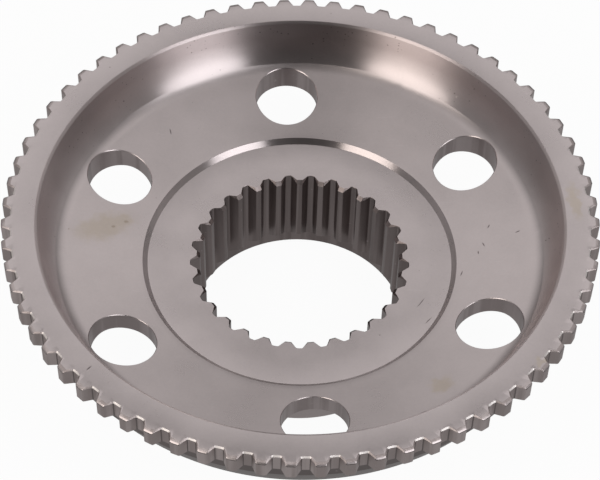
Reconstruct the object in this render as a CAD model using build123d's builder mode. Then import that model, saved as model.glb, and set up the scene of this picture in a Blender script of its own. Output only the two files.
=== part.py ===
from build123d import *
from math import pi, radians, tan
import os

# Carrier hub of a ring gear: one steel forging, turned all over, drilled, broached and hobbed.
# Millimetres. The axis of rotation is Z, the foot of the hub boss lies on z = 0 and the
# dished side opens upwards. Angles run from +X towards +Y.

# ---- Hub boss and its recessed face ----
hub_length = 38.8            # foot of the boss to the recessed face
boss_wall_thickness = 3.75   # round the relief below the spline
boss_chamfer = 1.2
boss_root_chamfer = 3.5      # where the boss runs into the web
hub_face_radius = 54.1       # outer edge of the recessed face
recess_depth = 1.73          # recessed face below the inner edge of the web
recess_angle = 45.0          # slope of the step round the face

# ---- Conical web ----
web_slope = 14.2             # degrees up from level, going outwards
web_thickness = 7.6          # measured along the axis
dish_fillet_radius = 12.0    # web into the wall of the rim

# ---- Rim ----
dish_depth = 26.85           # recessed hub face to the face of the rim
dish_edge_chamfer = 1.0
rim_width = 27.65            # face of the rim to its flat underside
rim_wall_thickness = 5.85    # inside of the dish to the plain wall below the teeth
rim_taper_height = 11.7
rim_taper_inset = 5.4        # how far the taper leads the underside in

# ---- Teeth round the rim ----
tooth_count = 68
tooth_module = 3.0
tooth_flank_angle = 30.0
tooth_addendum = 1.5
tooth_dedendum = 1.6
tooth_length = 7.5
tooth_shoulder = 3.4         # roots of the teeth to the plain wall of the rim below them
tooth_end_chamfer = 1.5      # radial reach of the chamfer on both ends of the tips
tooth_end_chamfer_angle = 21.0
tooth_edge_break = 0.45
tooth_start_angle = -3.087   # centre of the first gap

# ---- Splined bore ----
spline_count = 29
spline_pitch_radius = 37.2   # teeth and grooves are equally wide here
spline_flank_angle = 30.0
spline_crest_depth = 1.6     # pitch circle to the crests
spline_root_depth = 1.75     # pitch circle to the groove roots
spline_lead_in = 1.2
spline_start_angle = 85.0    # centre of the first groove
relief_clearance = 0.3       # groove roots to the plain bore below them
relief_length = 5.45
relief_lead_angle = 39.0     # slope of the spline's lower ends

# ---- Bolt holes in the web ----
bolt_hole_count = 6
bolt_hole_diameter = 23.0
bolt_circle_inset = 0.59     # inwards from the middle of the web
bolt_hole_edge_break = 0.4
bolt_start_angle = 35.25

# ---- Derived heights and radii ----
overrun = 1.0                # how far the cutters run past the metal
rim_face_height = hub_length + dish_depth
rim_foot_height = rim_face_height - rim_width
tooth_pitch_radius = tooth_count * tooth_module / 2
tooth_tip_radius = tooth_pitch_radius + tooth_addendum
tooth_root_radius = tooth_pitch_radius - tooth_dedendum
tooth_foot_height = rim_face_height - tooth_length
tooth_chamfer_drop = tooth_end_chamfer * tan(radians(tooth_end_chamfer_angle))
spline_crest_radius = spline_pitch_radius - spline_crest_depth
spline_root_radius = spline_pitch_radius + spline_root_depth
relief_radius = spline_root_radius + relief_clearance
boss_radius = relief_radius + boss_wall_thickness
spline_foot_height = relief_length + (relief_radius - spline_crest_radius) * tan(radians(relief_lead_angle))
web_inner_radius = hub_face_radius + recess_depth / tan(radians(recess_angle))
rim_body_radius = tooth_root_radius - tooth_shoulder
rim_foot_radius = rim_body_radius - rim_taper_inset
dish_wall_radius = rim_body_radius - rim_wall_thickness
bolt_circle_radius = (web_inner_radius + dish_wall_radius) / 2 - bolt_circle_inset


def web_top_height(radius):
    """Height of the cone of the web's upper side, prolonged to any radius."""
    return hub_length + recess_depth + (radius - web_inner_radius) * tan(radians(web_slope))


def web_foot_height(radius):
    """Height of the cone of the web's underside."""
    return web_top_height(radius) - web_thickness


# Where the underside of the web comes level with the underside of the rim
web_foot_end_radius = web_inner_radius + (rim_foot_height - web_foot_height(web_inner_radius)) / tan(
    radians(web_slope)
)

# ---- Cutter for one gap between the rim's teeth, lying along +X ----
# The flank leans from the radius through its pitch point, which is a quarter pitch off the middle.
gap_flank_slope = tan(radians(tooth_flank_angle + 90 / tooth_count))
gap_half_width = pi * tooth_module / 4
gap_root_half_width = gap_half_width - tooth_dedendum * gap_flank_slope
gap_mouth_half_width = gap_half_width + (tooth_addendum + overrun) * gap_flank_slope

with BuildPart() as gap_cutter:
    with BuildSketch(Plane.XY.offset(rim_face_height - tooth_edge_break)) as gap_section:
        with BuildLine():
            Polyline(
                (tooth_root_radius, -gap_root_half_width),
                (tooth_tip_radius + overrun, -gap_mouth_half_width),
                (tooth_tip_radius + overrun, gap_mouth_half_width),
                (tooth_root_radius, gap_root_half_width),
                close=True,
            )
        make_face()
    extrude(amount=-(tooth_length + overrun))
    extrude(gap_section.sketch, amount=tooth_edge_break + overrun, taper=-45)

# ---- Cutter for one groove of the spline, lying along +X ----
groove_flank_slope = tan(radians(spline_flank_angle - 90 / spline_count))
groove_half_width = pi * spline_pitch_radius / (2 * spline_count)
groove_root_half_width = groove_half_width - spline_root_depth * groove_flank_slope
groove_mouth_half_width = groove_half_width + (spline_crest_depth + overrun) * groove_flank_slope

with BuildPart() as groove_cutter:
    with BuildSketch(Plane.XY.offset(relief_length / 2)):
        with BuildLine():
            Polyline(
                (spline_root_radius, -groove_root_half_width),
                (spline_crest_radius - overrun, -groove_mouth_half_width),
                (spline_crest_radius - overrun, groove_mouth_half_width),
                (spline_root_radius, groove_root_half_width),
                close=True,
            )
        make_face()
    extrude(amount=hub_length)

# ---- Blank of the toothed ring, with one flat for each tooth tip ----
with BuildPart() as tooth_blank:
    with BuildSketch(Plane.XY.offset(tooth_foot_height)):
        RegularPolygon(tooth_tip_radius, tooth_count, major_radius=False, rotation=tooth_start_angle)
    extrude(amount=tooth_length)
    for end_face in faces().filter_by(Axis.Z):
        chamfer(end_face.edges(), length=tooth_end_chamfer, length2=tooth_chamfer_drop, reference=end_face)
    with BuildSketch(Plane.XY.offset(tooth_foot_height)):
        Circle(rim_body_radius - overrun)
    extrude(amount=tooth_length, mode=Mode.SUBTRACT)

# ---- The hub ----
with BuildPart() as hub:
    # Turned section, from the crests of the spline outwards and back under the rim
    with BuildSketch(Plane.XZ):
        with BuildLine():
            Polyline(
                (spline_crest_radius, hub_length - spline_lead_in),
                (spline_crest_radius + spline_lead_in, hub_length),
                (hub_face_radius, hub_length),
                (web_inner_radius, hub_length + recess_depth),
                (dish_wall_radius, web_top_height(dish_wall_radius)),
                (dish_wall_radius, rim_face_height - dish_edge_chamfer),
                (dish_wall_radius + dish_edge_chamfer, rim_face_height),
                (rim_body_radius, rim_face_height),
                (rim_body_radius, rim_foot_height + rim_taper_height),
                (rim_foot_radius, rim_foot_height),
                (web_foot_end_radius, rim_foot_height),
                (boss_radius, web_foot_height(boss_radius)),
                (boss_radius, boss_chamfer),
                (boss_radius - boss_chamfer, 0),
                (relief_radius, 0),
                (relief_radius, relief_length),
                (spline_crest_radius, spline_foot_height),
                close=True,
            )
        make_face()
        dish_corner = vertices().sort_by_distance((dish_wall_radius, web_top_height(dish_wall_radius)))[0]
        fillet(dish_corner, dish_fillet_radius)
        boss_corner = vertices().sort_by_distance((boss_radius, web_foot_height(boss_radius)))[0]
        chamfer(boss_corner, boss_root_chamfer)
    revolve(axis=Axis.Z)

    # Teeth: the gaps between them are cut into the ring
    add(tooth_blank.part)
    with PolarLocations(0, tooth_count, start_angle=tooth_start_angle):
        add(gap_cutter.part, mode=Mode.SUBTRACT)

    # Spline: each groove is broached into the plain relief below it
    with PolarLocations(0, spline_count, start_angle=spline_start_angle):
        add(groove_cutter.part, mode=Mode.SUBTRACT)

    # Bolt holes, parallel to the axis through the sloping web, with their upper edges broken
    with PolarLocations(bolt_circle_radius, bolt_hole_count, start_angle=bolt_start_angle):
        Hole(radius=bolt_hole_diameter / 2)
    hole_edges = edges(Select.LAST).filter_by(GeomType.LINE, reverse=True)
    chamfer(hole_edges.filter_by(lambda edge: edge.center().Z > hub_length), length=bolt_hole_edge_break)

hub.part.label = "ring_gear_hub"
os.makedirs("parts", exist_ok=True)
export_step(hub.part, "parts/ring_gear_hub.step")
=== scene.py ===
import math

import bmesh
import bpy
import numpy as np
from mathutils import Matrix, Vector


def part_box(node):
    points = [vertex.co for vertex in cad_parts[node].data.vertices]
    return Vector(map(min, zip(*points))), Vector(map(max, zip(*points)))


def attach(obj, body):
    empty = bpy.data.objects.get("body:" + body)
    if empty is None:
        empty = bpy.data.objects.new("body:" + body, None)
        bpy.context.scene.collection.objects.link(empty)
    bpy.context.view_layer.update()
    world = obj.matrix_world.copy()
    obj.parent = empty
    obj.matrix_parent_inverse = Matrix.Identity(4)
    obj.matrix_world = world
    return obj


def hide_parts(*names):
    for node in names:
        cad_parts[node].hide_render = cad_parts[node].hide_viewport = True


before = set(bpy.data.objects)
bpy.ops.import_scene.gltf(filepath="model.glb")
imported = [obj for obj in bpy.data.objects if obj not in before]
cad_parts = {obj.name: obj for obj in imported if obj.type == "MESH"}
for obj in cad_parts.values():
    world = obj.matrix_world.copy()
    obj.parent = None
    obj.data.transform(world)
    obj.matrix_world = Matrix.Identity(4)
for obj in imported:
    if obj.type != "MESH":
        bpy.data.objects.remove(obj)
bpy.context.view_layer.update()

# Ring gear carrier hub: turned, drilled, broached and hobbed steel. The skin of the part is worked
# out in millimetres from the axis and from the recessed hub face, and turned into metres at the end.

hub_low, hub_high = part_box("ring_gear_hub")
MM = 0.001

# ---- Heights over the recessed hub face ----
RIM_FACE = 26.85
HUB_FACE_M = hub_high[2] - RIM_FACE * MM     # the recessed hub face in the frame, in metres
BOSS_FOOT = (hub_low[2] - HUB_FACE_M) / MM
TOOTH_FOOT = 19.35
RIM_FOOT = -0.8
RIM_TAPER_TOP = 10.9

# ---- Radii of the turned surfaces ----
RELIEF = 39.25
BOSS = 43.0
HUB_FACE_EDGE = 54.1
WEB_START = 55.83
DISH_WALL = 91.15
RIM_FOOT_EDGE = 91.6
RIM_BODY = 97.0

# ---- Web ----
WEB_SLOPE = math.tan(math.radians(14.2))
WEB_START_HEIGHT = 1.73
WEB_THICKNESS = 7.6
FOOT_BLEND = 9.0          # width of the blend between the web's underside and the foot of the rim

# ---- Corners and edges ----
CORNER_STEPS = 4          # points along each small rounded corner
BLEND_STEPS = 5           # points along each corner that shows less
RELIEF_CHAMFER = 0.5
BOSS_CHAMFER = 1.2
BOSS_CORNER = 0.2
BOSS_ROOT_BLEND = 5.0
STEP_CORNER = 0.25        # step round the recessed hub face
DISH_FILLET = 12.0
DISH_FILLET_STEPS = 12
DISH_EDGE = 0.8           # bevel on the inner edge of the rim
DISH_EDGE_CORNER = 0.4
RIM_SHOULDER_FILLET = 0.8
RIM_TAPER_CORNER = 0.5
RIM_FOOT_CORNER = 0.6

# ---- Bolt holes ----
HOLE_COUNT = 6
HOLE_RADIUS = 11.5
HOLE_CIRCLE = 72.9
FIRST_HOLE = math.radians(35.25)
HOLE_BREAK = 0.2
BLOCK_INNER = 58.0        # the web is meshed round each hole between these two radii
BLOCK_OUTER = 86.0
ARC_STEPS = 60
SIDE_STEPS = 24
ROWS_OUT = 16             # rows from the rim of a hole to the boundary of its sector
ROW_GROWTH = 1.15         # they lie closer together near the hole

# ---- Radii at which plain turned loops meet those of the teeth or the grooves ----
BORE_SEAM = 44.0
RIM_SEAM = 99.0
UNDER_SEAM = 98.2

# ---- Columns of the plain turned loops: they meet the corners of the web's blocks ----
PLAIN_COLUMNS = HOLE_COUNT * ARC_STEPS
PLAIN_ANGLES = FIRST_HOLE - math.pi / HOLE_COUNT + np.arange(PLAIN_COLUMNS) * 2 * math.pi / PLAIN_COLUMNS


def round_corners(corners, radii, steps):
    """An open line with its inner corners rounded. A corner of radius r that turns by the angle a is left
    and met again r * tan(a / 2) away from it, and the arc between has its centre on the bisector."""
    corners = np.asarray(corners, float)
    line = [corners[0]]
    for before, corner, after, radius in zip(corners, corners[1:], corners[2:], radii):
        way_in = (corner - before) / np.linalg.norm(corner - before)
        way_out = (after - corner) / np.linalg.norm(after - corner)
        turn = math.acos(np.clip(way_in @ way_out, -1, 1))
        side = math.copysign(1, way_in[0] * way_out[1] - way_in[1] * way_out[0])
        tangent = radius * math.tan(turn / 2)
        inward = side * np.array([-way_in[1], way_in[0]])
        centre = corner - tangent * way_in + radius * inward
        sweep = np.linspace(0, turn, steps)[:, None]
        line.extend(centre - radius * (inward * np.cos(sweep) - way_in * np.sin(sweep)))
    line.append(corners[-1])
    return np.array(line)


def web_top(radius):
    """Upper side of the web: a cone, then an arc that meets the cone and the upright wall of the rim."""
    slope = math.atan(WEB_SLOPE)
    cone = WEB_START_HEIGHT + (radius - WEB_START) * WEB_SLOPE
    corner = WEB_START_HEIGHT + (DISH_WALL - WEB_START) * WEB_SLOPE
    tangent = DISH_FILLET * math.tan((math.pi / 2 - slope) / 2)
    centre_radius = DISH_WALL - DISH_FILLET
    centre_height = corner + tangent
    reach = np.clip(radius - centre_radius, 0, DISH_FILLET)
    arc = centre_height - np.sqrt(DISH_FILLET ** 2 - reach ** 2)
    return np.where(radius > DISH_WALL - tangent * math.cos(slope), arc, cone)


def web_foot(radius):
    """Underside of the web: a cone that blends into the level foot of the rim by a smooth minimum."""
    cone = WEB_START_HEIGHT - WEB_THICKNESS + (radius - WEB_START) * WEB_SLOPE
    over = cone - RIM_FOOT
    blend = FOOT_BLEND * WEB_SLOPE / 2
    return cone - 0.5 * (over + np.sqrt(over ** 2 + blend ** 2 / 4))


class Skin:
    """Vertices and faces of one closed surface, gathered loop by loop."""

    def __init__(self):
        self.points = []
        self.faces = []
        self.finishes = []
        self.count = 0

    def loop(self, radii, angles, heights):
        """A closed loop of points given by their radius, angle and height, as whole arrays."""
        radii, angles, heights = np.broadcast_arrays(radii, angles, heights)
        return self.line(np.stack([radii * np.cos(angles), radii * np.sin(angles), heights], axis=1))

    def line(self, points):
        """Points added as they are. Loops are handed on as arrays of their points' numbers."""
        self.points.append(np.asarray(points, float))
        start = self.count
        self.count += len(points)
        return np.arange(start, self.count)

    def band(self, first, second, finish):
        """Quads between two loops with equally many points, all in one finish or each in its own."""
        quads = np.stack([first, np.roll(first, -1), np.roll(second, -1), second], axis=1)
        self.faces.append(quads)
        self.finishes.append(np.broadcast_to(finish, len(quads)))

    def bands(self, loops, finish):
        """Quads between each loop and the next."""
        for first, second in zip(loops, loops[1:]):
            self.band(first, second, finish)

    def seam(self, first, first_angles, second, second_angles, finish):
        """Triangles between two loops round the axis whose counts differ. Both are walked once round in
        step with their angles: each edge of one loop gets the point of the other that was reached last."""
        a, a_angles = turned_to_start(first, first_angles)
        b, b_angles = turned_to_start(second, second_angles)
        a_ends = np.append(a_angles[1:], a_angles[0] + 2 * math.pi)
        b_ends = np.append(b_angles[1:], b_angles[0] + 2 * math.pi)
        b_reached = np.searchsorted(b_ends, a_ends, side="left") % len(b)
        a_reached = np.searchsorted(a_ends, b_ends, side="right") % len(a)
        a_side = np.stack([a, np.roll(a, -1), b[b_reached]], axis=1)
        b_side = np.stack([np.roll(b, -1), b, a[a_reached]], axis=1)
        triangles = np.concatenate([a_side, b_side])
        self.faces.append(triangles)
        self.finishes.append(np.full(len(triangles), finish))


def turned_to_start(loop, angles):
    """The loop begun at its smallest angle between 0 and a full turn, so that its angles only grow."""
    angles = np.mod(angles, 2 * math.pi)
    start = int(np.argmin(angles))
    return np.roll(loop, -start), np.roll(angles, -start)


# ---- Finishes, by the number of their material slot ----
TURNED = 0
WALL = 1
HOBBED = 2
# painted shade: the bore's broached steel is darkened to stand in for the shade in the bore
SHADED_BORE = 3
DRILLED = 4
BRIGHT_EDGE = 5
# painted shade: dark steel for the outside below the teeth, the corners of the roots and the line below the
# tips' bevel
PAINTED_SHADE = 6
# worn edge with a painted highlight: much lighter than the steel round it
WORN_GLINT_EDGE = 7
FACED = 8


# ---- Outlines of teeth and grooves ----
FLANK_ANGLE = 30          # in degrees, from the radius through a flank's pitch point


def flank_point(radius, pitch_radius, half_width, slope):
    """Where a straight flank meets the circle of a radius. The flank passes through the pitch circle's
    radius at the half width, and moves outwards by the slope for each millimetre climbed."""
    foot = half_width - slope * pitch_radius
    x = (math.sqrt(radius ** 2 * (1 + slope ** 2) - foot ** 2) - slope * foot) / (1 + slope ** 2)
    return x, foot + slope * x


def tooth_outline(count, pitch_radius, low_radius, high_radius, low_fillet, high_fillet, first_middle):
    """Outline of all teeth or grooves as radii and angles. One pitch starts in the middle of the low land,
    climbs the straight flank to the high land and comes back: the half is mirrored, then turned round.
    The flank's pitch point is a quarter pitch, or 90 / count degrees, away from that middle."""
    pitch = 2 * math.pi / count
    flank_slope = math.tan(math.radians(FLANK_ANGLE + 90 / count))
    half_width = pitch_radius * pitch / 4
    low_corner = flank_point(low_radius, pitch_radius, half_width, flank_slope)
    high_corner = flank_point(high_radius, pitch_radius, half_width, flank_slope)
    high_middle = (high_radius * math.cos(pitch / 2), high_radius * math.sin(pitch / 2))
    corners = [(low_radius, 0), low_corner, high_corner, high_middle]
    half = round_corners(corners, [low_fillet, high_fillet], CORNER_STEPS)
    radii = np.hypot(half[:, 0], half[:, 1])
    angles = np.arctan2(half[:, 1], half[:, 0])
    radii = np.concatenate([radii, radii[-2:0:-1]])
    angles = np.concatenate([angles, pitch - angles[-2:0:-1]])
    turns = first_middle + np.arange(count)[:, None] * pitch
    return np.tile(radii, count), (turns + angles).ravel()


def outline_offset(radii, angles, amount):
    """The outline moved along its own normal, away from the axis for a positive amount. The normal is
    square to the line through each point's two neighbours. Where the moved line would fold back over
    itself, its angles are held between those already reached from either side."""
    x = radii * np.cos(angles)
    y = radii * np.sin(angles)
    along_x = np.roll(x, -1) - np.roll(x, 1)
    along_y = np.roll(y, -1) - np.roll(y, 1)
    length = np.hypot(along_x, along_y)
    moved_x = x + amount * along_y / length
    moved_y = y - amount * along_x / length
    moved_angles = angles + wrapped(np.arctan2(moved_y, moved_x) - angles)
    reached = np.maximum.accumulate(moved_angles)
    still_ahead = np.minimum.accumulate(moved_angles[::-1])[::-1]
    return np.hypot(moved_x, moved_y), (reached + still_ahead) / 2


def wrapped(angles):
    """Angles brought between minus and plus half a turn."""
    return np.mod(angles + math.pi, 2 * math.pi) - math.pi


def add_plain_loops(skin, section, angles=PLAIN_ANGLES):
    """One loop for each point (radius, height) of a turned section."""
    return [skin.loop(radius, angles, height) for radius, height in section]


# ---- Spline ----
SPLINE_COUNT = 29
SPLINE_CREST = 35.6
SPLINE_ROOT = 38.95
SPLINE_PITCH = 37.2
SPLINE_CREST_FILLET = 0.5
SPLINE_ROOT_FILLET = 0.8
SPLINE_FIRST = math.radians(85.0)     # middle of the first groove
SPLINE_BREAK = 0.12                   # broken edge of the grooves on the hub face
SPLINE_FOOT = -30.35                  # height at which the crests end
SPLINE_FOOT_SLOPE = 0.82
LEAD_IN = 36.8                        # outer radius of the bevel that leads into the spline


def add_bore(skin):
    """Grooves of the spline with their lead-in, the relief below them and the boss. The bore's outline is
    followed from crest to groove and back, so all loops here have one point for each of its points."""
    radii, angles = tooth_outline(
        SPLINE_COUNT,
        SPLINE_PITCH,
        SPLINE_CREST,
        SPLINE_ROOT,
        SPLINE_CREST_FILLET,
        SPLINE_ROOT_FILLET,
        SPLINE_FIRST - math.pi / SPLINE_COUNT,
    )
    edge_radii, edge_angles = outline_offset(radii, angles, SPLINE_BREAK)
    face_radii = np.maximum(edge_radii, LEAD_IN)
    face = skin.loop(face_radii, edge_angles, 0)
    top_heights = -SPLINE_BREAK - np.maximum(LEAD_IN - radii, 0)
    top = skin.loop(radii, angles, top_heights)
    foot_heights = SPLINE_FOOT - (radii - SPLINE_CREST) * SPLINE_FOOT_SLOPE
    foot = skin.loop(radii, angles, foot_heights)
    # The bore is in the darker steel that is painted shade of the bore.
    skin.band(face, top, SHADED_BORE)
    skin.band(top, foot, SHADED_BORE)
    relief_top = skin.loop(RELIEF, angles, SPLINE_FOOT - (RELIEF - SPLINE_CREST) * SPLINE_FOOT_SLOPE)
    skin.band(foot, relief_top, SHADED_BORE)
    relief_section = [(RELIEF, BOSS_FOOT + RELIEF_CHAMFER), (RELIEF + RELIEF_CHAMFER, BOSS_FOOT)]
    relief = [relief_top] + add_plain_loops(skin, relief_section, angles)
    skin.bands(relief, SHADED_BORE)
    boss_corner = (BOSS, float(web_foot(BOSS)))
    boss_section = round_corners(
        [
            (RELIEF + RELIEF_CHAMFER + 0.1, BOSS_FOOT),
            (BOSS - BOSS_CHAMFER, BOSS_FOOT),
            (BOSS, BOSS_FOOT + BOSS_CHAMFER),
            boss_corner,
            (BLOCK_INNER, float(web_foot(BLOCK_INNER))),
        ],
        [BOSS_CORNER, BOSS_CORNER, BOSS_ROOT_BLEND],
        BLEND_STEPS,
    )
    boss = add_plain_loops(skin, boss_section, angles)
    skin.bands([relief[-1]] + boss, TURNED)
    return face, edge_angles, boss[-1], angles


def add_hub_face(skin, bore_face, bore_angles):
    """Recessed face, the small step round it and the start of the web."""
    section = round_corners(
        [
            (BORE_SEAM, 0),
            (HUB_FACE_EDGE, 0),
            (WEB_START, WEB_START_HEIGHT),
            (BLOCK_INNER, float(web_top(BLOCK_INNER))),
        ],
        [STEP_CORNER, STEP_CORNER],
        CORNER_STEPS,
    )
    loops = add_plain_loops(skin, section)
    face_end = CORNER_STEPS // 2
    step_end = face_end + CORNER_STEPS
    skin.seam(loops[0], PLAIN_ANGLES, bore_face, bore_angles, FACED)
    skin.bands(loops[:face_end + 1], FACED)
    skin.bands(loops[face_end:step_end + 1], WALL)
    skin.bands(loops[step_end:], TURNED)


def block_boundary(hole):
    """Boundary of one hole's sector of the web, walked round: inner arc, side, outer arc and side."""
    middle = FIRST_HOLE + hole * 2 * math.pi / HOLE_COUNT
    half = math.pi / HOLE_COUNT
    arc = np.linspace(-half, half, ARC_STEPS + 1)[:-1]
    side = np.linspace(BLOCK_INNER, BLOCK_OUTER, SIDE_STEPS + 1)[:-1]
    radii = np.concatenate(
        [
            np.full(ARC_STEPS, BLOCK_INNER),
            side,
            np.full(ARC_STEPS, BLOCK_OUTER),
            BLOCK_INNER + BLOCK_OUTER - side,
        ]
    )
    angles = np.concatenate([arc, np.full(SIDE_STEPS, half), -arc, np.full(SIDE_STEPS, -half)])
    return middle, radii * np.cos(middle + angles), radii * np.sin(middle + angles)


def add_web(skin):
    """Both sides of the web and the holes through it. Round each hole the rows run from its rim out to
    the boundary of its sector, and each point's height follows from its radius alone. The underside
    has every other row."""
    rows_out = np.linspace(0, 1, ROWS_OUT + 1)[1:] ** ROW_GROWTH
    for hole in range(HOLE_COUNT):
        middle, edge_x, edge_y = block_boundary(hole)
        centre_x = HOLE_CIRCLE * math.cos(middle)
        centre_y = HOLE_CIRCLE * math.sin(middle)
        towards = np.arctan2(edge_y - centre_y, edge_x - centre_x)

        def rim_loop(radius, height_of, drop=0.0):
            x = centre_x + radius * np.cos(towards)
            y = centre_y + radius * np.sin(towards)
            return x, y, skin.line(np.stack([x, y, height_of(np.hypot(x, y)) + drop], axis=1))

        for height_of, rows, drop in ((web_top, rows_out, -1), (web_foot, rows_out[1::2], 1)):
            rim_x, rim_y, rim = rim_loop(HOLE_RADIUS + HOLE_BREAK, height_of)
            loops = [rim]
            for row in rows:
                x = rim_x + (edge_x - rim_x) * row
                y = rim_y + (edge_y - rim_y) * row
                loops.append(skin.line(np.stack([x, y, height_of(np.hypot(x, y))], axis=1)))
            skin.bands(loops, TURNED)
            _, _, wall_end = rim_loop(HOLE_RADIUS, height_of, drop * HOLE_BREAK)
            skin.band(rim, wall_end, TURNED)
            if height_of is web_top:
                wall_top = wall_end
            else:
                skin.band(wall_top, wall_end, DRILLED)


def add_dish(skin):
    """Fillet and wall of the dish, its bevelled edge and the flat face of the rim."""
    fillet_middle = DISH_WALL - DISH_FILLET
    first_turn = math.asin((BLOCK_OUTER - fillet_middle) / DISH_FILLET)
    radii = fillet_middle + DISH_FILLET * np.sin(np.linspace(first_turn, math.pi / 2, DISH_FILLET_STEPS))
    section = [(radius, float(web_top(radius))) for radius in radii]
    wall = round_corners(
        [
            section[-1],
            (DISH_WALL, RIM_FACE - DISH_EDGE),
            (DISH_WALL + DISH_EDGE, RIM_FACE),
            (RIM_SEAM, RIM_FACE),
        ],
        [DISH_EDGE_CORNER, DISH_EDGE_CORNER],
        CORNER_STEPS,
    )
    fillet_loops = add_plain_loops(skin, section)
    wall_loops = [fillet_loops[-1]] + add_plain_loops(skin, wall[1:])
    edge_end = 2 * CORNER_STEPS
    skin.bands(fillet_loops, WALL)
    skin.bands(wall_loops[:edge_end + 1], WALL)
    skin.bands(wall_loops[edge_end:], FACED)
    return wall_loops[-1]


# ---- Teeth ----
TOOTH_COUNT = 68
TOOTH_PITCH = 102.0
TOOTH_TIP = 103.5
TOOTH_ROOT = 100.4
TOOTH_ROOT_FILLET = 0.7
TOOTH_TIP_FILLET = 0.6
TOOTH_FIRST_GAP = math.radians(-3.087)
ROOT_BREAK = 0.5           # broken edge along the roots
FLANK_BREAK = 0.03         # and along the flanks
ROOT_BREAK_END = 0.9       # the one runs out into the other between these radii over the roots
ROOT_BREAK_FULL = 0.3
TIP_BEVEL_START = 102.0
TIP_BEVEL_DROP = 0.5
TIP_SHOULDER = 0.95        # reach and drop of the flat start of the bevel
TIP_SHOULDER_DROP = 0.22
TIP_ZONE = 0.7             # the bevel is bright from here outwards
TIP_SHADE_LINE = 0.45            # painted shade: darker line below the bevel
FOOT_BREAK = 0.25          # lower end of the teeth
FOOT_BEVEL_DROP = 0.32
ROOT_WEAR_GLINT_END = 0.15       # the broken edge is worn, and painted bright as a highlight, up to here over the roots
ROOT_SHADE_START = 0.06     # painted shade: darker lines in the corners of the roots
ROOT_SHADE_END = 0.4
SEAM_DROP = 0.005          # keeps the loops of the face and of the shoulder apart


def add_teeth(skin, rim_loop):
    """Ring of teeth. All its loops follow the tooth outline: on the face it is drawn in by the edge break
    and stops at the bevel of the tips, below it runs straight down the flanks."""
    radii, angles = tooth_outline(
        TOOTH_COUNT,
        TOOTH_PITCH,
        TOOTH_ROOT,
        TOOTH_TIP,
        TOOTH_ROOT_FILLET,
        TOOTH_TIP_FILLET,
        TOOTH_FIRST_GAP,
    )
    run_out = (TOOTH_ROOT + ROOT_BREAK_END - radii) / (ROOT_BREAK_END - ROOT_BREAK_FULL)
    broken = FLANK_BREAK + (ROOT_BREAK - FLANK_BREAK) * np.clip(run_out, 0, 1)
    edge_radii, edge_angles = outline_offset(radii, angles, -broken)
    face = skin.loop(np.minimum(edge_radii, TIP_BEVEL_START), edge_angles, RIM_FACE)
    skin.seam(rim_loop, PLAIN_ANGLES, face, edge_angles, FACED)
    over = np.clip((radii - TIP_BEVEL_START) / (TOOTH_TIP - TIP_BEVEL_START), 0, 1)
    shoulder_radii = np.minimum(edge_radii, TIP_BEVEL_START + TIP_SHOULDER)
    shoulder_over = np.clip((shoulder_radii - TIP_BEVEL_START) / TIP_SHOULDER, 0, 1)
    shoulder_drop = TIP_SHOULDER_DROP * shoulder_over + SEAM_DROP
    shoulder = skin.loop(shoulder_radii, edge_angles, RIM_FACE - shoulder_drop)
    top = skin.loop(radii, angles, RIM_FACE - broken - TIP_BEVEL_DROP * over)
    foot = skin.loop(radii, angles, TOOTH_FOOT + FOOT_BREAK + FOOT_BEVEL_DROP * over)
    under_radii = np.minimum(edge_radii, TIP_BEVEL_START)
    under = skin.loop(under_radii, edge_angles, TOOTH_FOOT)
    skin.band(face, shoulder, HOBBED)
    between = (radii + np.roll(radii, -1)) / 2
    over_root = between - TOOTH_ROOT
    on_tip = between > TIP_BEVEL_START + TIP_ZONE
    # worn edge over the roots, painted bright as a highlight
    edge_finish = np.where(over_root < ROOT_WEAR_GLINT_END, WORN_GLINT_EDGE, HOBBED)
    edge_finish = np.where(on_tip, BRIGHT_EDGE, edge_finish)
    skin.band(shoulder, top, edge_finish)
    # painted shade: darker lines in the corners of the roots, where the flanks meet them
    in_root_shade = (over_root > ROOT_SHADE_START) & (over_root < ROOT_SHADE_END)
    flank_finish = np.where(in_root_shade, PAINTED_SHADE, HOBBED)
    # painted shade: a dark line below the bevel of the tips
    line_finish = np.where(on_tip, PAINTED_SHADE, flank_finish)
    line = skin.loop(radii, angles, RIM_FACE - broken - TIP_BEVEL_DROP * over - TIP_SHADE_LINE)
    skin.band(top, line, line_finish)
    skin.band(line, foot, flank_finish)
    skin.band(foot, under, BRIGHT_EDGE)
    return under, edge_angles


def add_rim_outside(skin, tooth_under, tooth_angles):
    """Plain wall below the teeth, its taper and the level foot of the rim, all in the dark steel that is
    painted shade under the teeth.
    """
    section = round_corners(
        [
            (UNDER_SEAM, TOOTH_FOOT),
            (RIM_BODY, TOOTH_FOOT),
            (RIM_BODY, RIM_TAPER_TOP),
            (RIM_FOOT_EDGE, RIM_FOOT),
            (BLOCK_OUTER, float(web_foot(BLOCK_OUTER))),
        ],
        [RIM_SHOULDER_FILLET, RIM_TAPER_CORNER, RIM_FOOT_CORNER],
        BLEND_STEPS,
    )
    loops = add_plain_loops(skin, section)
    skin.seam(loops[0], PLAIN_ANGLES, tooth_under, tooth_angles, PAINTED_SHADE)
    skin.bands(loops, PAINTED_SHADE)


# ---- The whole skin ----
MERGE_DISTANCE = 0.004 * MM
SHARP_FROM = math.radians(28)


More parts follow.
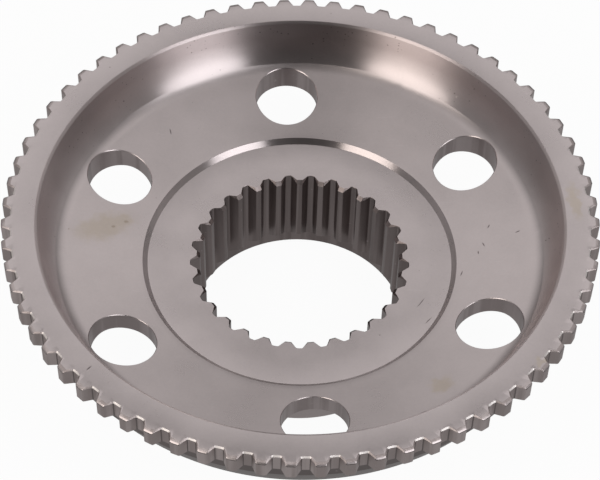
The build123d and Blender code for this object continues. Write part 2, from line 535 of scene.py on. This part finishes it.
def build_hub():
    """The whole skin as one closed mesh in metres, in the frame of the part."""
    skin = Skin()
    bore_face, bore_angles, boss_end, boss_angles = add_bore(skin)
    add_hub_face(skin, bore_face, bore_angles)
    add_web(skin)
    rim_loop = add_dish(skin)
    tooth_under, tooth_angles = add_teeth(skin, rim_loop)
    add_rim_outside(skin, tooth_under, tooth_angles)
    inner_foot = skin.loop(BLOCK_INNER, PLAIN_ANGLES, float(web_foot(BLOCK_INNER)))
    skin.seam(inner_foot, PLAIN_ANGLES, boss_end, boss_angles, TURNED)

    points = np.concatenate(skin.points) * MM
    points[:, 2] += HUB_FACE_M
    faces = [face for group in skin.faces for face in group.tolist()]
    mesh = bpy.data.meshes.new("ring_gear_hub_skin")
    mesh.from_pydata(points.tolist(), [], faces)
    mesh.polygons.foreach_set("material_index", np.concatenate(skin.finishes))
    sheet = bmesh.new()
    sheet.from_mesh(mesh)
    bmesh.ops.remove_doubles(sheet, verts=sheet.verts, dist=MERGE_DISTANCE)
    bmesh.ops.dissolve_degenerate(sheet, edges=sheet.edges, dist=MERGE_DISTANCE / 2)
    bmesh.ops.recalc_face_normals(sheet, faces=sheet.faces)
    sheet.to_mesh(mesh)
    sheet.free()
    mesh.shade_smooth()
    mesh.set_sharp_from_angle(angle=SHARP_FROM)
    hub = bpy.data.objects.new("ring_gear_hub_skin", mesh)
    bpy.context.scene.collection.objects.link(hub)
    return hub


# ---- Materials ----


class Graph:
    """Nodes of one material, world or group, made and joined by short calls."""

    def __init__(self, tree):
        self.nodes = tree.nodes
        self.links = tree.links

    def node(self, kind, inputs=None, **settings):
        """A node with its inputs set by name or number, to a constant or to another node's output."""
        node = self.nodes.new(kind)
        for key, value in settings.items():
            setattr(node, key, value)
        for key, value in (inputs or {}).items():
            if isinstance(value, bpy.types.NodeSocket):
                self.links.new(value, node.inputs[key])
            else:
                node.inputs[key].default_value = value
        return node

    def math(self, operation, *values):
        """A sum on numbers, each a constant or an output."""
        return self.node("ShaderNodeMath", dict(enumerate(values)), operation=operation).outputs[0]

    def blend(self, share, first, second, kind="MIX"):
        """Two colours mixed by a share from 0 to 1."""
        inputs = {0: share, 6: first, 7: second}
        return self.node("ShaderNodeMix", inputs, data_type="RGBA", blend_type=kind).outputs[2]

    def vector(self, operation, *values):
        """A sum on vectors, each a constant or an output."""
        inputs = dict(enumerate(values))
        return self.node("ShaderNodeVectorMath", inputs, operation=operation).outputs[0]

    def length(self, vector):
        return self.node("ShaderNodeVectorMath", {0: vector}, operation="LENGTH").outputs["Value"]

    def scaled(self, vector, factor):
        inputs = {0: vector, "Scale": factor}
        return self.node("ShaderNodeVectorMath", inputs, operation="SCALE").outputs[0]

    def step(self, value, low, high, start=0.0, end=1.0):
        """A smooth step of the value between two levels."""
        node = self.node(
            "ShaderNodeMapRange",
            {"Value": value, "From Min": low, "From Max": high, "To Min": start, "To Max": end},
            interpolation_type="SMOOTHSTEP",
        )
        return node.outputs[0]

    def place(self):
        """Position on the part in millimetres from the axis and the floor."""
        return self.scaled(self.node("ShaderNodeTexCoord").outputs["Object"], 1 / MM)


def new_group(name, inputs, outputs):
    """An empty node group. Inputs and outputs are pairs of name and kind of socket."""
    group = bpy.data.node_groups.new(name, "ShaderNodeTree")
    for title, kind in inputs:
        group.interface.new_socket(title, in_out="INPUT", socket_type=kind)
    for title, kind in outputs:
        group.interface.new_socket(title, in_out="OUTPUT", socket_type=kind)
    graph = Graph(group)
    return group, graph, graph.node("NodeGroupInput").outputs, graph.node("NodeGroupOutput").inputs


def spot_group():
    """Mask of one soft spot seen from above: an ellipse whose edge a noise moves about."""
    inputs = [
        ("Centre", "NodeSocketVector"),
        ("Turn", "NodeSocketVector"),
        ("Reach", "NodeSocketVector"),
        ("Ragged", "NodeSocketFloat"),
    ]
    group, graph, given, result = new_group("soft_spot", inputs, [("Mask", "NodeSocketFloat")])
    place = graph.place()
    drift = graph.node("ShaderNodeTexNoise", {"Vector": place, "Scale": 0.35, "Detail": 3.0}).outputs["Color"]
    moved = graph.scaled(graph.vector("SUBTRACT", drift, (0.5, 0.5, 0.5)), given["Ragged"])
    local = graph.node(
        "ShaderNodeMapping",
        {
            "Vector": graph.vector("ADD", place, moved),
            "Location": given["Centre"],
            "Rotation": given["Turn"],
            "Scale": given["Reach"],
        },
        vector_type="TEXTURE",
    )
    away = graph.length(graph.vector("MULTIPLY", local.outputs[0], (1, 1, 0)))
    graph.links.new(graph.step(away, 0.35, 1.0, 1.0, 0.0), result["Mask"])
    return group


# Old oil stains, darker spots and nicks: middle x and y, direction in degrees, half length, half width
OIL_STAINS = [
    (-70, 8, 33, 15, 7),
    (-64, 12, 20, 6, 4),
    (49, -57, 30, 6, 4.5),
    (95.5, 8, 98, 11, 3),
    (80, -60, 50, 2.6, 1.8),
]
DARK_SPOTS = [
    (-62.5, 11.8, 10, 1.3, 0.8),
    (-66.8, 8.6, 40, 1.0, 0.7),
    (-82, 4, 60, 0.5, 0.4),
]
NICKS = [
    (-49.2, 53.3, 105, 1.6, 0.32),
    (67.4, 13.4, 65, 1.1, 0.3),
    (65.4, 5.7, 110, 1.3, 0.28),
    (63.5, 2.4, 95, 0.9, 0.3),
    (77.4, 9.5, 20, 1.2, 0.28),
    (57.4, -6.1, 70, 1.5, 0.25),
    (43.0, -17.9, 55, 3.2, 0.22),
    (45.5, -25.6, 50, 2.4, 0.22),
    (43.3, -69.1, 20, 2.2, 0.25),
    (-67.5, -68.5, 50, 1.5, 0.35),
]

# How far the edges of each kind of mark waver, in millimetres
STAIN_RAGGED = 7.0
SPOT_RAGGED = 1.0
NICK_RAGGED = 0.3


def marks_group():
    """Stains, dark spots and nicks of the used part, as three masks. Each mask is the greatest of the
    soft spots that it gathers."""
    outputs = [("Stain", "NodeSocketFloat"), ("Spot", "NodeSocketFloat"), ("Nick", "NodeSocketFloat")]
    group, graph, _, result = new_group("marks_of_use", [], outputs)
    spot = spot_group()
    kinds = [
        ("Stain", OIL_STAINS, STAIN_RAGGED),
        ("Spot", DARK_SPOTS, SPOT_RAGGED),
        ("Nick", NICKS, NICK_RAGGED),
    ]
    for title, marks, ragged in kinds:
        total = 0.0
        for x, y, turn, length, width in marks:
            mask = graph.node("ShaderNodeGroup", node_tree=spot)
            mask.inputs["Centre"].default_value = (x, y, 0)
            mask.inputs["Turn"].default_value = (0, 0, math.radians(turn))
            mask.inputs["Reach"].default_value = (length, width, 1)
            mask.inputs["Ragged"].default_value = ragged
            total = graph.math("MAXIMUM", total, mask.outputs["Mask"])
        graph.links.new(total, result[title])
    return group


# Hairline scratches: direction of each set in radians, and how short its scratches are
HAIRLINES = [(0.5, 0.9), (1.9, 1.3), (2.7, 0.7)]


def scattered_dots(graph, place, scale, rarest, reach, softness):
    """Round dots in the cells of a Voronoi pattern. Each cell's own random number sets the reach of its
    dot, from none below the rarest level up to the full reach, as a share of the cell."""
    cells = graph.node("ShaderNodeTexVoronoi", {"Vector": place, "Scale": scale, "Randomness": 1.0}).outputs
    number = graph.node("ShaderNodeSeparateColor", {0: cells["Color"]}).outputs[0]
    own_reach = graph.step(number, rarest, 1.0, 0.0, reach)
    return graph.step(graph.math("SUBTRACT", own_reach, cells["Distance"]), 0.0, softness)


def grain_group():
    """Fine unevenness of the bare metal: cloudy tone, small pits, hairline scratches and patches of
    grit. The cloud is three parts of a broad noise and one part of a fine one."""
    outputs = [
        ("Cloud", "NodeSocketFloat"),
        ("Pit", "NodeSocketFloat"),
        ("Hairline", "NodeSocketFloat"),
        ("Grit", "NodeSocketFloat"),
    ]
    group, graph, _, result = new_group("metal_grain", [], outputs)
    place = graph.place()
    broad_inputs = {"Vector": place, "Scale": 0.05, "Detail": 4.0, "Roughness": 0.55}
    fine_inputs = {"Vector": place, "Scale": 1.1, "Detail": 3.0, "Roughness": 0.7}
    broad = graph.math("MULTIPLY", graph.node("ShaderNodeTexNoise", broad_inputs).outputs[0], 0.75)
    fine = graph.math("MULTIPLY", graph.node("ShaderNodeTexNoise", fine_inputs).outputs[0], 0.25)
    graph.links.new(graph.math("ADD", broad, fine), result["Cloud"])
    pits = scattered_dots(graph, place, scale=0.21, rarest=0.55, reach=0.085, softness=0.05)
    graph.links.new(pits, result["Pit"])
    hairlines = 0.0
    for turn, shortness in HAIRLINES:
        along = graph.node(
            "ShaderNodeMapping",
            {"Vector": place, "Rotation": (0, 0, turn), "Scale": (0.05 * shortness, 2.6, 0.3)},
        )
        streak = graph.node("ShaderNodeTexNoise", {"Vector": along.outputs[0], "Scale": 1.0, "Detail": 2.0})
        hairlines = graph.math("MAXIMUM", hairlines, graph.step(streak.outputs[0], 0.72, 0.80))
    graph.links.new(hairlines, result["Hairline"])
    specks = scattered_dots(graph, place, scale=0.75, rarest=0.5, reach=0.30, softness=0.08)
    patch = graph.node("ShaderNodeTexNoise", {"Vector": place, "Scale": 0.07, "Detail": 2.0})
    graph.links.new(graph.math("MULTIPLY", specks, graph.step(patch.outputs[0], 0.50, 0.62)), result["Grit"])
    return group


# The wall's ledges set in round a height over the floor, from so much below it to so much above it
LEDGES_FROM = 54.0
LEDGES_SET_IN = 5.0


def turning_group():
    """Height of the fine rings that the turning tool leaves, in millimetres. They follow the distance
    from the axis and the height together, so that they show on faces, cones and walls alike. On an
    upright wall each ring is a ledge that leans back by the given slope and so faces a little upwards.
    The ledges set in smoothly above the fillet of the dish."""
    inputs = [("Depth", "NodeSocketFloat"), ("Ledge", "NodeSocketFloat")]
    group, graph, given, result = new_group("turning_rings", inputs, [("Height", "NodeSocketFloat")])
    place = graph.place()
    level = graph.node("ShaderNodeSeparateXYZ", {0: place}).outputs["Z"]
    radius = graph.length(graph.vector("MULTIPLY", place, (1, 1, 0)))
    along = graph.math("ADD", radius, graph.math("MULTIPLY", level, 0.83))
    fine = graph.node("ShaderNodeTexNoise", {"W": along, "Scale": 4.5, "Detail": 2.0}, noise_dimensions="1D")
    broad = graph.node("ShaderNodeTexNoise", {"W": along, "Scale": 0.6, "Detail": 1.0}, noise_dimensions="1D")
    height = graph.math("ADD", fine.outputs[0], graph.math("MULTIPLY", broad.outputs[0], 1.5))
    rings = graph.math("MULTIPLY", height, given["Depth"])
    raised = graph.math("SMOOTH_MAX", graph.math("SUBTRACT", level, LEDGES_FROM), 0.0, LEDGES_SET_IN)
    ledges = graph.math("MULTIPLY", raised, given["Ledge"])
    graph.links.new(graph.math("SUBTRACT", rings, ledges), result["Height"])
    return group


def streak_group():
    """Straight marks that a drill, broach or hob leaves along the axis: their height in millimetres, and
    broad darker bands. Both are noises stretched along the axis."""
    inputs = [("Depth", "NodeSocketFloat")]
    outputs = [("Height", "NodeSocketFloat"), ("Band", "NodeSocketFloat")]
    group, graph, given, result = new_group("straight_marks", inputs, outputs)
    along = graph.vector("MULTIPLY", graph.place(), (1.0, 1.0, 0.03))
    marks = graph.node("ShaderNodeTexNoise", {"Vector": along, "Scale": 1.3, "Detail": 3.0})
    graph.links.new(graph.math("MULTIPLY", marks.outputs[0], given["Depth"]), result["Height"])
    bands = graph.node("ShaderNodeTexNoise", {"Vector": along, "Scale": 0.22, "Detail": 3.0})
    graph.links.new(graph.step(bands.outputs[0], 0.42, 0.56), result["Band"])
    return group


WEB_COLOR = (0.48, 0.422, 0.418)
WEB_ROUGHNESS = 0.29
WALL_FADE = (47.5, 57.0)  # the wall's finish runs out into the web's between these heights over the floor. Its colour gets lighter upwards there, as painted light on the wall.

STRIPE_TINT = (0.55, 0.52, 0.51, 1)
OIL_TINT = (1.0, 0.95, 0.74, 1)
SPOT_BROWN = (0.20, 0.15, 0.10, 1)
DIRT = (0.16, 0.13, 0.12, 1)
SCRATCH_GREY = (0.62, 0.57, 0.56, 1)
NICK_BLACK = (0.10, 0.08, 0.08, 1)


def steel(name, groups, color, roughness, lay=0.0, rings=0.0, streaks=0.0, grit=0.0, ledge=0.0, fade=None):
    """Bare steel in one finish. The rings and the streaks are the depths of its tool marks in
    millimetres. The lay says how much smoother the metal is along the tool marks round the axis than
    across them, the grit how strongly loose specks show, and the ledge how far the rings of an upright
    wall lean back. The fade is a pair of heights over the floor in millimetres: between them the colour
    and the roughness pass from those of the web, below, to the finish's own."""
    material = bpy.data.materials.new(name)
    material.use_nodes = True
    graph = Graph(material.node_tree)
    shader = graph.nodes["Principled BSDF"]
    shader.inputs["Metallic"].default_value = 1
    if lay > 0:
        shader.inputs["Anisotropic"].default_value = lay
        shader.inputs["Anisotropic Rotation"].default_value = 0.25
        around = graph.node("ShaderNodeTangent", direction_type="RADIAL", axis="Z")
        graph.links.new(around.outputs[0], shader.inputs["Tangent"])
    grain = graph.node("ShaderNodeGroup", node_tree=groups["grain"]).outputs
    marks = graph.node("ShaderNodeGroup", node_tree=groups["marks"]).outputs
    turned = graph.node("ShaderNodeGroup", {"Depth": rings, "Ledge": ledge}, node_tree=groups["rings"])
    drawn = graph.node("ShaderNodeGroup", {"Depth": streaks}, node_tree=groups["streaks"]).outputs

    dull = tuple(0.93 * part for part in color)
    bright = tuple(1.06 * part for part in color)
    tone = graph.blend(graph.step(grain["Cloud"], 0.3, 0.7), (*dull, 1), (*bright, 1))
    if streaks > 0:
        tone = graph.blend(graph.math("MULTIPLY", drawn["Band"], 0.5), tone, STRIPE_TINT, "MULTIPLY")
    tone = graph.blend(graph.math("MULTIPLY", marks["Stain"], 0.45), tone, OIL_TINT, "MULTIPLY")
    tone = graph.blend(graph.math("MULTIPLY", marks["Spot"], 0.4), tone, SPOT_BROWN)
    tone = graph.blend(graph.math("MULTIPLY", grain["Pit"], 0.5), tone, DIRT)
    tone = graph.blend(graph.math("MULTIPLY", grain["Hairline"], 0.35), tone, SCRATCH_GREY)
    tone = graph.blend(graph.math("MULTIPLY", marks["Nick"], 0.8), tone, NICK_BLACK)
    if grit > 0:
        tone = graph.blend(graph.math("MULTIPLY", grain["Grit"], grit), tone, DIRT)
    own = graph.step(grain["Cloud"], 0.3, 0.7, roughness - 0.02, roughness + 0.02)
    worn = graph.math("ADD", own, graph.math("MULTIPLY", marks["Stain"], 0.08))
    # Over the fade the colour passes from the web's to the finish's own. On the wall, whose own colour is
    # lighter, this is painted light: the steel gets lighter upwards.
    if fade is not None:
        level = graph.node("ShaderNodeSeparateXYZ", {0: graph.place()}).outputs["Z"]
        below = graph.step(level, *fade, 1.0, 0.0)
        to_web = tuple(web / part for web, part in zip(WEB_COLOR, color))
        tone = graph.blend(below, tone, (*to_web, 1), "MULTIPLY")
        worn = graph.math("ADD", worn, graph.math("MULTIPLY", below, WEB_ROUGHNESS - roughness))
    graph.links.new(tone, shader.inputs["Base Color"])
    graph.links.new(worn, shader.inputs["Roughness"])

    dents = graph.math("MULTIPLY", graph.math("ADD", marks["Nick"], grain["Pit"]), -0.02)
    scratched = graph.math("MULTIPLY", grain["Hairline"], -0.002)
    tool_marks = graph.math("ADD", turned.outputs[0], drawn["Height"])
    height = graph.math("ADD", tool_marks, graph.math("ADD", dents, scratched))
    bump = graph.node("ShaderNodeBump", {"Height": height, "Strength": 1.0, "Distance": MM})
    graph.links.new(bump.outputs["Normal"], shader.inputs["Normal"])
    return material


def finish_materials():
    """One material for each finish, in the order of the finishes' numbers."""
    groups = {
        "grain": grain_group(),
        "marks": marks_group(),
        "rings": turning_group(),
        "streaks": streak_group(),
    }
    return [
        steel("turned_steel", groups, WEB_COLOR, WEB_ROUGHNESS, lay=0.4, rings=0.0006),
        # painted light: the wall's steel is lighter than the web's, to lift the dim wall
        steel(
            "bored_wall_steel",
            groups,
            (0.53, 0.458, 0.452),
            0.39,
            lay=1.0,
            rings=0.0002,
            grit=0.6,
            ledge=0.11,
            fade=WALL_FADE,
        ),
        steel("hobbed_steel", groups, (0.52, 0.456, 0.448), 0.48, streaks=0.006),
        # painted shade: broached steel darkened for the shade in the bore
        steel("broached_painted_shade_steel", groups, (0.26, 0.22, 0.215), 0.36, streaks=0.004),
        steel("drilled_steel", groups, (0.42, 0.364, 0.362), 0.34, streaks=0.012),
        steel("bright_edge_steel", groups, (0.48, 0.42, 0.415), 0.29),
        # painted shade: dark steel that stands in for the shade under the teeth
        steel("painted_shade_steel", groups, (0.20, 0.172, 0.168), 0.38, lay=0.4, rings=0.003),
        # worn edge with a painted highlight
        steel("worn_glint_steel", groups, (0.86, 0.80, 0.78), 0.55),
        steel("faced_steel", groups, (0.518, 0.457, 0.454), 0.29, lay=0.4, rings=0.0006),
    ]


# ---- Floor, light and camera ----
FLOOR_IN_METAL = 0.42     # level at which the metal mirrors the floor
FLOOR_REACH = 3.0
FLOOR_GLOW = 0.95         # share of the floor's own white, and the rest takes light and shadow


def white_surface(name):
    """White floor: it takes the part's shadow, and is lifted to white for the camera. The metal mirrors
    it as a grey floor in soft shade."""
    material = bpy.data.materials.new(name)
    material.use_nodes = True
    graph = Graph(material.node_tree)
    graph.nodes.clear()
    rays = graph.node("ShaderNodeLightPath").outputs
    mirrored = graph.math("MAXIMUM", rays["Is Glossy Ray"], rays["Is Transmission Ray"])
    seen = graph.math("MAXIMUM", rays["Is Camera Ray"], mirrored)
    level = graph.step(rays["Is Camera Ray"], 0.0, 1.0, FLOOR_IN_METAL, 1.0)
    diffuse = graph.node("ShaderNodeBsdfDiffuse", {"Color": (0.85, 0.85, 0.85, 1)})
    glow = graph.node("ShaderNodeEmission", {"Strength": level})
    share = graph.math("MULTIPLY", seen, FLOOR_GLOW)
    mix = graph.node("ShaderNodeMixShader", {0: share, 1: diffuse.outputs[0], 2: glow.outputs[0]})
    graph.node("ShaderNodeOutputMaterial", {0: mix.outputs[0]})
    return material


def add_floor():
    """A square floor under the foot of the boss."""
    mesh = bpy.data.meshes.new("floor")
    corners = [(-1, -1), (1, -1), (1, 1), (-1, 1)]
    points = [(x * FLOOR_REACH, y * FLOOR_REACH, hub_low[2]) for x, y in corners]
    mesh.from_pydata(points, [], [(0, 1, 2, 3)])
    floor = bpy.data.objects.new("floor", mesh)
    bpy.context.scene.collection.objects.link(floor)
    mesh.materials.append(white_surface("white_floor"))


def add_world():
    """Studio room: plain white for the camera. What lights the part and shows in the metal is a white
    backdrop behind it, which rises from a dim foot and fades out in front. Overhead, where the backdrop
    ends, a wide dark gap and a narrow half-dark one lie in its middle, and the walls on either side of
    the room are dim. Levels follow from the direction alone: Z is how steeply it rises, and X how far
    it points aside."""
    world = bpy.data.worlds.new("studio")
    bpy.context.scene.world = world
    world.use_nodes = True
    graph = Graph(world.node_tree)
    background = graph.nodes["Background"]
    way = graph.node("ShaderNodeTexCoord").outputs["Generated"]
    towards = graph.node("ShaderNodeVectorMath", {0: way, 1: (0.0, 0.74, 0.67)}, operation="DOT_PRODUCT")
    parts = graph.node("ShaderNodeSeparateXYZ", {0: way}).outputs
    aside = graph.math("ABSOLUTE", parts["X"])

    # The backdrop fades with the angle from its middle, and is dimmed towards its foot
    backdrop = graph.step(towards.outputs["Value"], 0.42, 0.93, 0.09, 1.0)
    rising = graph.step(parts["Z"], 0.20, 0.72, 0.25, 1.0)

    # Each gap is a stretch aside times a band of heights
    wide = graph.step(aside, 0.08, 0.32, 1.0, 0.0)
    wide_band = graph.math("SUBTRACT", graph.step(parts["Z"], 0.78, 0.85), graph.step(parts["Z"], 0.87, 0.93))
    narrow = graph.step(aside, 0.03, 0.17, 0.45, 0.0)
    narrow_band = graph.step(parts["Z"], 0.86, 0.92)
    wide_gap = graph.math("MULTIPLY", wide, wide_band)
    narrow_gap = graph.math("MULTIPLY", narrow, narrow_band)
    beside_gaps = graph.math("SUBTRACT", 1.0, graph.math("MAXIMUM", wide_gap, narrow_gap))

    lit = graph.math("MULTIPLY", backdrop, graph.math("MULTIPLY", rising, beside_gaps))
    side_walls = graph.step(aside, 0.35, 0.95, 0.0, 0.28)
    room = graph.math("MAXIMUM", lit, side_walls)
    rays = graph.node("ShaderNodeLightPath").outputs
    background.inputs["Color"].default_value = (1, 1, 1, 1)
    graph.links.new(graph.math("MAXIMUM", room, rays["Is Camera Ray"]), background.inputs["Strength"])


SOFTBOX_SIZE = (0.62, 1.75)
SOFTBOX_DISTANCE = 1.2


def add_softbox(name, azimuth, elevation, lean, power, color):
    """A soft oval light that faces the part, placed by its direction from the hub face. It leans
    by an angle, in degrees, in its own plane."""
    turn = math.radians(azimuth)
    lift = math.radians(elevation)
    away = np.array([math.cos(lift) * math.cos(turn), math.cos(lift) * math.sin(turn), math.sin(lift)])
    level = np.array([-math.sin(turn), math.cos(turn), 0])
    upright = np.cross(away, level)
    side = math.cos(math.radians(lean)) * level + math.sin(math.radians(lean)) * upright
    lamp = bpy.data.lights.new(name, "AREA")
    lamp.shape = "ELLIPSE"
    lamp.size, lamp.size_y = SOFTBOX_SIZE
    lamp.energy = power
    lamp.color = color
    box = bpy.data.objects.new(name, lamp)
    place = np.eye(4)
    place[:3, :3] = np.stack([side, np.cross(away, side), away], axis=1)
    place[:3, 3] = away * SOFTBOX_DISTANCE + np.array([0, 0, HUB_FACE_M])
    box.matrix_world = Matrix(place.tolist())
    bpy.context.scene.collection.objects.link(box)


def add_camera():
    """The camera looks down at the dish. Its place is given by the height of the view over the horizon,
    the distance to the middle of the hub face, in metres, and how far the axis of the view passes
    beside that middle."""
    elevation = math.radians(51.589)
    roll = math.radians(-1.676)
    distance = 0.73136
    offset = np.array([-0.000128, -0.006736])
    forward = np.array([0, math.cos(elevation), -math.sin(elevation)])
    right = np.array([1.0, 0, 0])
    up = np.cross(right, forward)
    view_x = math.cos(roll) * right - math.sin(roll) * up
    view_y = math.sin(roll) * right + math.cos(roll) * up
    place = np.eye(4)
    place[:3, :3] = np.stack([view_x, view_y, -forward], axis=1)
    place[:3, 3] = np.array([0, 0, HUB_FACE_M]) - forward * distance - view_x * offset[0] - view_y * offset[1]
    lens = bpy.data.cameras.new("camera")
    lens.sensor_width = 36
    lens.lens = 123.06
    lens.clip_start = 0.01
    camera = bpy.data.objects.new("camera", lens)
    camera.matrix_world = Matrix(place.tolist())
    bpy.context.scene.collection.objects.link(camera)
    bpy.context.scene.camera = camera


hub = build_hub()
for finish in finish_materials():
    hub.data.materials.append(finish)
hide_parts("ring_gear_hub")
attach(hub, "root")

add_floor()
add_world()
add_softbox("softbox_right", azimuth=-44, elevation=39, lean=-18, power=7.4, color=(0.96, 0.98, 1.0))
add_softbox("softbox_left", azimuth=223.5, elevation=39, lean=18, power=7.1, color=(1.0, 0.96, 0.905))
add_camera()
bpy.context.scene.view_settings.view_transform = "Standard"
